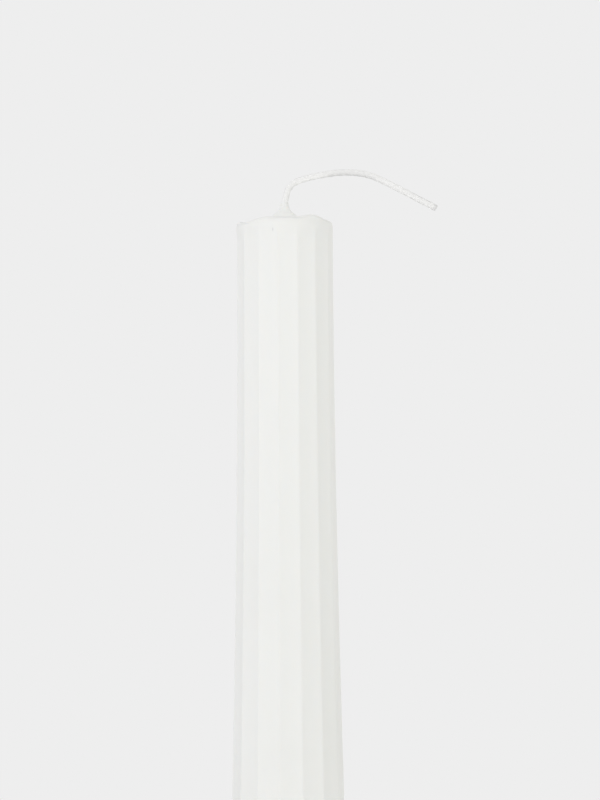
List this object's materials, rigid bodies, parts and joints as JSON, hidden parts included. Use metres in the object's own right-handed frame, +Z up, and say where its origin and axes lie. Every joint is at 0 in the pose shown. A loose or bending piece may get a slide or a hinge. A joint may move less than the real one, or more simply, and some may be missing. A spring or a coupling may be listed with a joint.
{
  "type": "ribbed taper candle",
  "caption": "White ribbed dinner candle that tapers towards its top, with a long uncut waxed wick that curls over to one side.",
  "frame": {"origin": "centre of the flat foot, on the wick's axis", "axes": "+Z up along the candle, -Y towards the side that the picture shows, +X the way the wick curls"},
  "size_m": [0.0373, 0.0249, 0.259],
  "materials": {
    "wax": "plain white candle wax, semi-matt, slightly translucent",
    "wick_cotton": "braided white cotton, stiff with wax"
  },
  "bodies": {
    "root": {"wax_body": "wax", "wick": "wick_cotton"}
  },
  "joints": []
}
